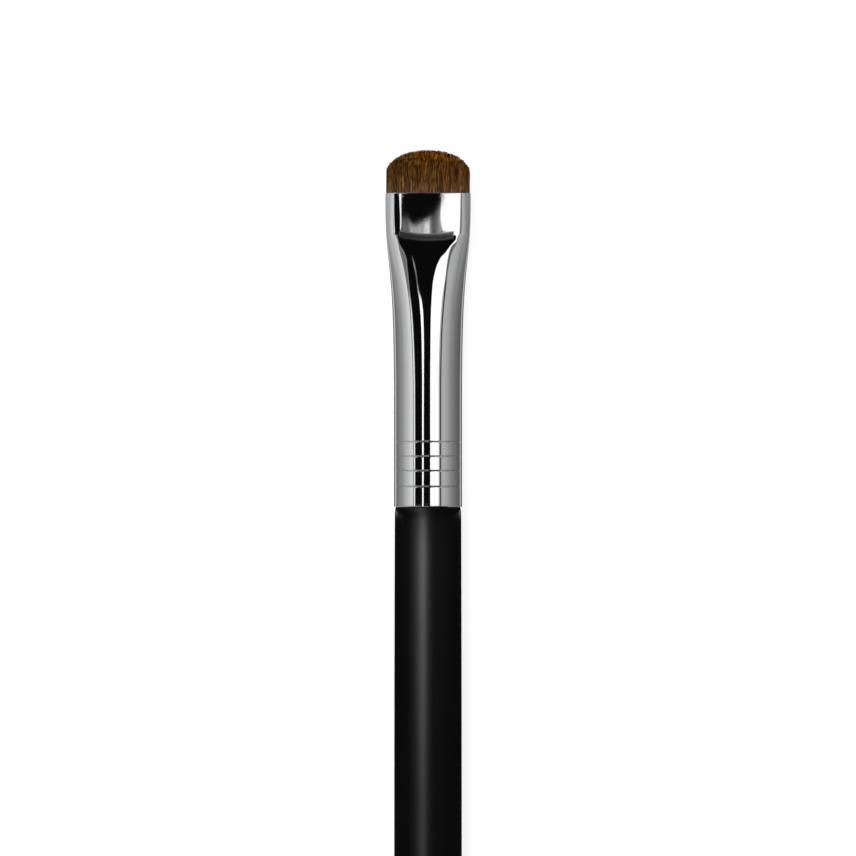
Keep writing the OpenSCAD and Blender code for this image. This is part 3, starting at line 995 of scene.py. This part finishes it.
# The flare mirrors its flanks closer to the middle the further it tips: (degrees towards the tip,
# NO_SHIFT plus the degrees that the left flank is moved right). The right one has a formula.
# A RANGE holds a table's lowest value, its highest value and its top result
LEFT_SHIFT = [
    (-7.0, 3.6), (-5.5, 2.0), (-3.5, 0.6), (-1.6, 0.6), (-0.8, 3.6), (0.0, 3.6), (1.0, 2.0),
    (3.0, 1.7), (7.0, 1.6), (12.0, 3.6), (18.0, 6.2), (25.0, 10.0), (30.0, 11.2),
]
LEFT_SHIFT_RANGE = (-8.0, 32.0, 12.0)
NO_SHIFT = 4.0
RIGHT_SHIFT = (0.16, 0.0045)
SKEW_MIDDLE = (-20.0, 20.0)

# Clouded grey beyond the handle that the panel mirrors: (degrees towards +X, brightness), and how
# many degrees towards the tail it starts
CLOUD_ROUND = [
    (-18.0, 0.0), (-16.6, 0.13), (-12.0, 0.13), (-10.6, 0.38), (-3.0, 0.42), (-1.9, 0.68),
    (0.6, 0.7), (1.6, 0.2), (3.2, 0.09), (5.0, 0.14), (6.5, 0.22), (7.8, 0.3),
]
CLOUD_START = [
    (-18.0, 3.1), (-12.0, 3.2), (-10.5, 4.1), (-8.7, 4.5), (-6.8, 4.4), (-5.0, 4.1), (-2.5, 3.8),
    (0.0, 3.5), (2.1, 3.0), (4.3, 2.5), (6.8, 1.9), (8.0, 1.7),
]
CLOUD_ROUND_RANGE = (-20.0, 10.0, 1.0)
CLOUD_START_RANGE = (-20.0, 10.0, 5.0)
SPECKLE_STRETCH = (1.0, 4.0, 1.0)
SPECKLE_SCALE = 60.0

# Degrees that the white card's left edge is moved right, by degrees towards the tip
CARD_LEFT = [
    (-8.0, 1.5), (-6.5, 1.4), (-5.2, 0.7), (-4.2, 0.1), (-2.9, 0.0), (-2.3, 0.3), (-1.85, 0.8),
    (-1.72, 1.4), (-1.66, 3.2), (-1.45, 3.2), (-1.2, 0.0),
]
CARD_LEFT_RANGE = (-8.0, 1.0, 5.0)

# The white card's upper edge as a slope towards the tip, by its slope to the right
CARD_TOP = [
    (0.12, 0.06), (0.143, 0.114), (0.172, 0.211), (0.194, 0.302), (0.231, 0.382), (0.308, 0.571),
    (0.38, 0.72), (0.48, 0.79), (0.52, 0.9), (0.6, 1.1), (0.8, 1.5),
]
CARD_TOP_RANGE = (0.0, 1.0, 1.5)
CARD_TOP_EDGE = (-0.03, 0.03)
CARD_LEFT_EDGE = (7.2, 8.4)
CARD_RIGHT_EDGE = (35.6, 37.2)
CARD_RIGHT_ALONG = (4.0, 16.0)
CARD_RIGHT_SHIFT = 5
CARD_FOOT = 5.2
CARD_FOOT_SLANT = 0.12
CARD_FOOT_EDGE = (-0.3, 0.3)
DIM_EDGE = (41.0, 42.0)
DIM_GLOW = 0.4

# The thin strip's middle, half width and brightness, by slope towards the tip
STRIP_RANGE = (-0.2, 0.8, 1.0)
STRIP_EDGE = (-0.004, 0.004)
STRIP_FOOT = (-6.7, -6.0)
STRIP_MIDDLE = [
    (-0.12, 0.402), (-0.1, 0.37), (-0.07, 0.326), (-0.03, 0.311), (0.003, 0.309), (0.037, 0.282),
    (0.077, 0.285), (0.113, 0.3), (0.17, 0.343), (0.225, 0.429), (0.314, 0.453), (0.523, 0.476),
]
STRIP_HALF = [
    (-0.12, 0.022), (-0.055, 0.022), (-0.037, 0.0115), (-0.022, 0.0105), (-0.011, 0.049),
    (0.01, 0.049), (0.04, 0.06), (0.113, 0.066), (0.17, 0.06), (0.225, 0.03), (0.314, 0.026),
    (0.523, 0.025), (0.725, 0.02),
]
STRIP_GLOW = [
    (0.113, 1.0), (0.17, 0.85), (0.225, 0.35), (0.3, 0.12), (0.4, 0.15), (0.523, 0.28),
    (0.65, 0.1), (0.75, 0.0),
]


def tent_flanks(around, along, skewed):
    """The grey flanks, with a faint seam on the right and a pale rim towards the tip."""
    glint = skewed.window(*GLINT_ACROSS) * along.rise(*GLINT_ALONG)
    tipped = along.math("ABSOLUTE").rise(*TIPPED_ALONG)
    flanks = (skewed / 180 + 0.5).ramp(tent_stops(FLANKS))
    flanks = flanks * (1 - glint * GLINT_DIMS) * (1 - tipped * TIPPED_DIMS)
    seam = skewed.window(*SEAM_ACROSS) * along.rise(*SEAM_ALONG) * SEAM_GLOW
    rim = along.rise(*RIM_ALONG) * around.math("ABSOLUTE").rise(*RIM_ACROSS) * RIM_GLOW
    return flanks + seam + rim


def tent_card(around, along, skewed, p, q):
    """The white card, and the dimmer band on its right."""
    top = (p.by_table(CARD_TOP, *CARD_TOP_RANGE) - q).rise(*CARD_TOP_EDGE)
    foot = (along + around * CARD_FOOT_SLANT + CARD_FOOT).rise(*CARD_FOOT_EDGE)
    left = (around - along.by_table(CARD_LEFT, *CARD_LEFT_RANGE)).rise(*CARD_LEFT_EDGE)
    past = skewed - along.rise(*CARD_RIGHT_ALONG) * CARD_RIGHT_SHIFT
    past = past.rise(*CARD_RIGHT_EDGE)
    white = left * (1 - past) * top * foot
    return white, past * (1 - skewed.rise(*DIM_EDGE)) * foot * DIM_GLOW


def tent_strip(along, p, q):
    """The thin bright strip on the left."""
    off = (p + q.by_table(STRIP_MIDDLE, *STRIP_RANGE)).math("ABSOLUTE")
    inside = (q.by_table(STRIP_HALF, *STRIP_RANGE) - off).rise(*STRIP_EDGE)
    return inside * q.by_table(STRIP_GLOW, *STRIP_RANGE) * along.rise(*STRIP_FOOT)


def tent_grey(tree, direction, around, along):
    """Clouded grey beyond the handle, with plain greys to its right and under it."""
    scale = {0: direction, 1: SPECKLE_STRETCH}
    stretched = tree.add("ShaderNodeVectorMath", {"operation": "MULTIPLY"}, scale)
    speckle = tree.noise(stretched, SPECKLE_SCALE, 3.0, 0.7).rise(0.3, 0.7) * 1.3 + 0.35
    begun = along * -1.0 - around.by_table(CLOUD_START, *CLOUD_START_RANGE)
    begun = begun.rise(*CLOUD_SOFTNESS)
    within = around.window(*CLOUD_ACROSS) * (1 - along.rise(*CLOUD_FRONT))
    cloud = around.by_table(CLOUD_ROUND, *CLOUD_ROUND_RANGE) * begun * within * speckle
    right = around.window(*RIGHT_ACROSS) * along.window(*RIGHT_ALONG) * RIGHT_GLOW
    under = around.window(*UNDER_ACROSS) * (1 - along.rise(*UNDER_FRONT)) * UNDER_GLOW
    return cloud + right + under


def tent(tree):
    """Black gap overhead between grey flanks, with a white card right of it and a strip left of it.

    around is the angle from straight up towards +X, and along the angle towards the tip. p and q
    are the slopes to the right and towards the tip of what lies overhead.
    """
    direction = tree.add("ShaderNodeTexCoord", {}, {}, "Generated")
    x, y, z = tree.split(direction)
    around = x.math("ARCTAN2", z) * DEGREES
    along = y.math("ARCTAN2", (x * x + z * z) ** 0.5) * DEGREES
    above = z.math("MAXIMUM", 0.001)
    p = x / above
    q = y / above

    ahead = along.math("MAXIMUM", 0.0)
    right_shift = (ahead * RIGHT_SHIFT[1] + RIGHT_SHIFT[0]) * ahead
    left_shift = NO_SHIFT - along.by_table(LEFT_SHIFT, *LEFT_SHIFT_RANGE)
    skewed = around + mix(left_shift, right_shift, around.rise(*SKEW_MIDDLE))

    white, dim = tent_card(around, along, skewed, p, q)
    shining = (white + tent_strip(along, p, q)).math("MINIMUM", 1.0)
    grey = tent_grey(tree, direction, around, along) * (1 - shining)
    return tent_flanks(around, along, skewed) + shining * WHITE + dim + grey


WORLD_LIGHT = 0.62
TABLE_GLOW = 0.55


def studio_world():
    """White to the camera, plain grey light on the object, and the tent in polished surfaces."""
    world = bpy.data.worlds.new("studio")
    bpy.context.scene.world = world
    tree = Tree(world)
    glossy = tree.add("ShaderNodeLightPath", {}, {}, "Is Glossy Ray")
    direct = (glossy.other("Is Camera Ray") + glossy.other("Is Transmission Ray")).clamped()
    plain = direct + (1 - direct) * WORLD_LIGHT
    strength = tent(tree) * glossy + (1 - glossy) * plain
    glow = tree.add("ShaderNodeBackground", {}, {"Color": (1, 1, 1, 1), "Strength": strength})
    tree.add("ShaderNodeOutputWorld", {}, {"Surface": glow})


def floor():
    """Pale table that camera and polished surfaces see as white, with the object's shadow kept."""
    material, tree = new_material("pale_table")
    seen = tree.add("ShaderNodeLightPath", {}, {}, "Is Glossy Ray")
    seen = (seen + seen.other("Is Camera Ray") + seen.other("Is Transmission Ray")).clamped()
    shade = tree.add("ShaderNodeBsdfDiffuse", {}, {"Color": (0.8, 0.8, 0.8, 1)})
    links = {"Color": (1, 1, 1, 1), "Strength": seen * TABLE_GLOW}
    glow = tree.add("ShaderNodeEmission", {}, links)
    tree.surface(tree.add("ShaderNodeAddShader", {}, {0: shade, 1: glow}))
    bm = bmesh.new()
    bmesh.ops.create_grid(bm, x_segments=1, y_segments=1, size=3)
    object_from("table", mesh_from(bm), material)


def lamp(name, place, aim, size, watts):
    light = bpy.data.lights.new(name, "AREA")
    light.shape = "DISK"
    light.size = size
    light.energy = watts
    holder = bpy.data.objects.new(name, light)
    bpy.context.collection.objects.link(holder)
    holder.location = place
    back = holder.location - aim
    holder.rotation_euler = back.to_track_quat("Z", "Y").to_euler()
    holder.visible_glossy = False


def lamps():
    middle = (cad_low + cad_high) / 2
    lamp("key", (-0.28, MOUTH_Y + 0.1, 0.62), middle, 0.5, 1.5)
    lamp("fill", (0.4, MOUTH_Y - 0.1, 0.5), middle, 0.6, 0.7)


def camera():
    data = bpy.data.cameras.new("camera")
    data.sensor_width = SENSOR_MM
    data.lens = SENSOR_MM * CAMERA_HEIGHT / VIEW_WIDTH
    data.clip_end = 10
    holder = bpy.data.objects.new("camera", data)
    bpy.context.collection.objects.link(holder)
    holder.location = (0, MOUTH_Y - VIEW_DROP, AXIS_Z + CAMERA_HEIGHT)
    bpy.context.scene.camera = holder


# Assembly


def dressed(name, mesh, material, node):
    piece = object_from(name, mesh, material)
    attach(piece, "root")
    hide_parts(node)


def paint(node, material):
    """Gives a CAD node that stays its finish."""
    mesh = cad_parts[node].data
    mesh.materials.clear()
    mesh.materials.append(material)


camera()
studio_world()
floor()
studio_cards()
lamps()

hair = hair_material()
dressed("ferrule_shell", ferrule_mesh(), plating_material(), "ferrule")
for layer, name in enumerate(HAIR_LAYERS):
    dressed(name, hair_mesh(layer), hair, "hair_tuft")
dressed("hair_root", root_mesh(), hair, "hair_tuft")
dressed("handle_coat", handle_mesh(), lacquer_material(), "handle_lacquer")
paint("handle_core", wood_material())
resin = cast_material("amber_resin", (0.62, 0.42, 0.14), (0.42, 0.24, 0.05), 0.2, 900.0)
glue = cast_material("dried_glue", (0.82, 0.75, 0.58), (0.66, 0.55, 0.36), 0.5, 1200.0)
paint("root_resin", resin)
paint("tenon_glue", glue)
paint("binding_thread", thread_material())

view = bpy.context.scene.view_settings
view.view_transform = "Standard"
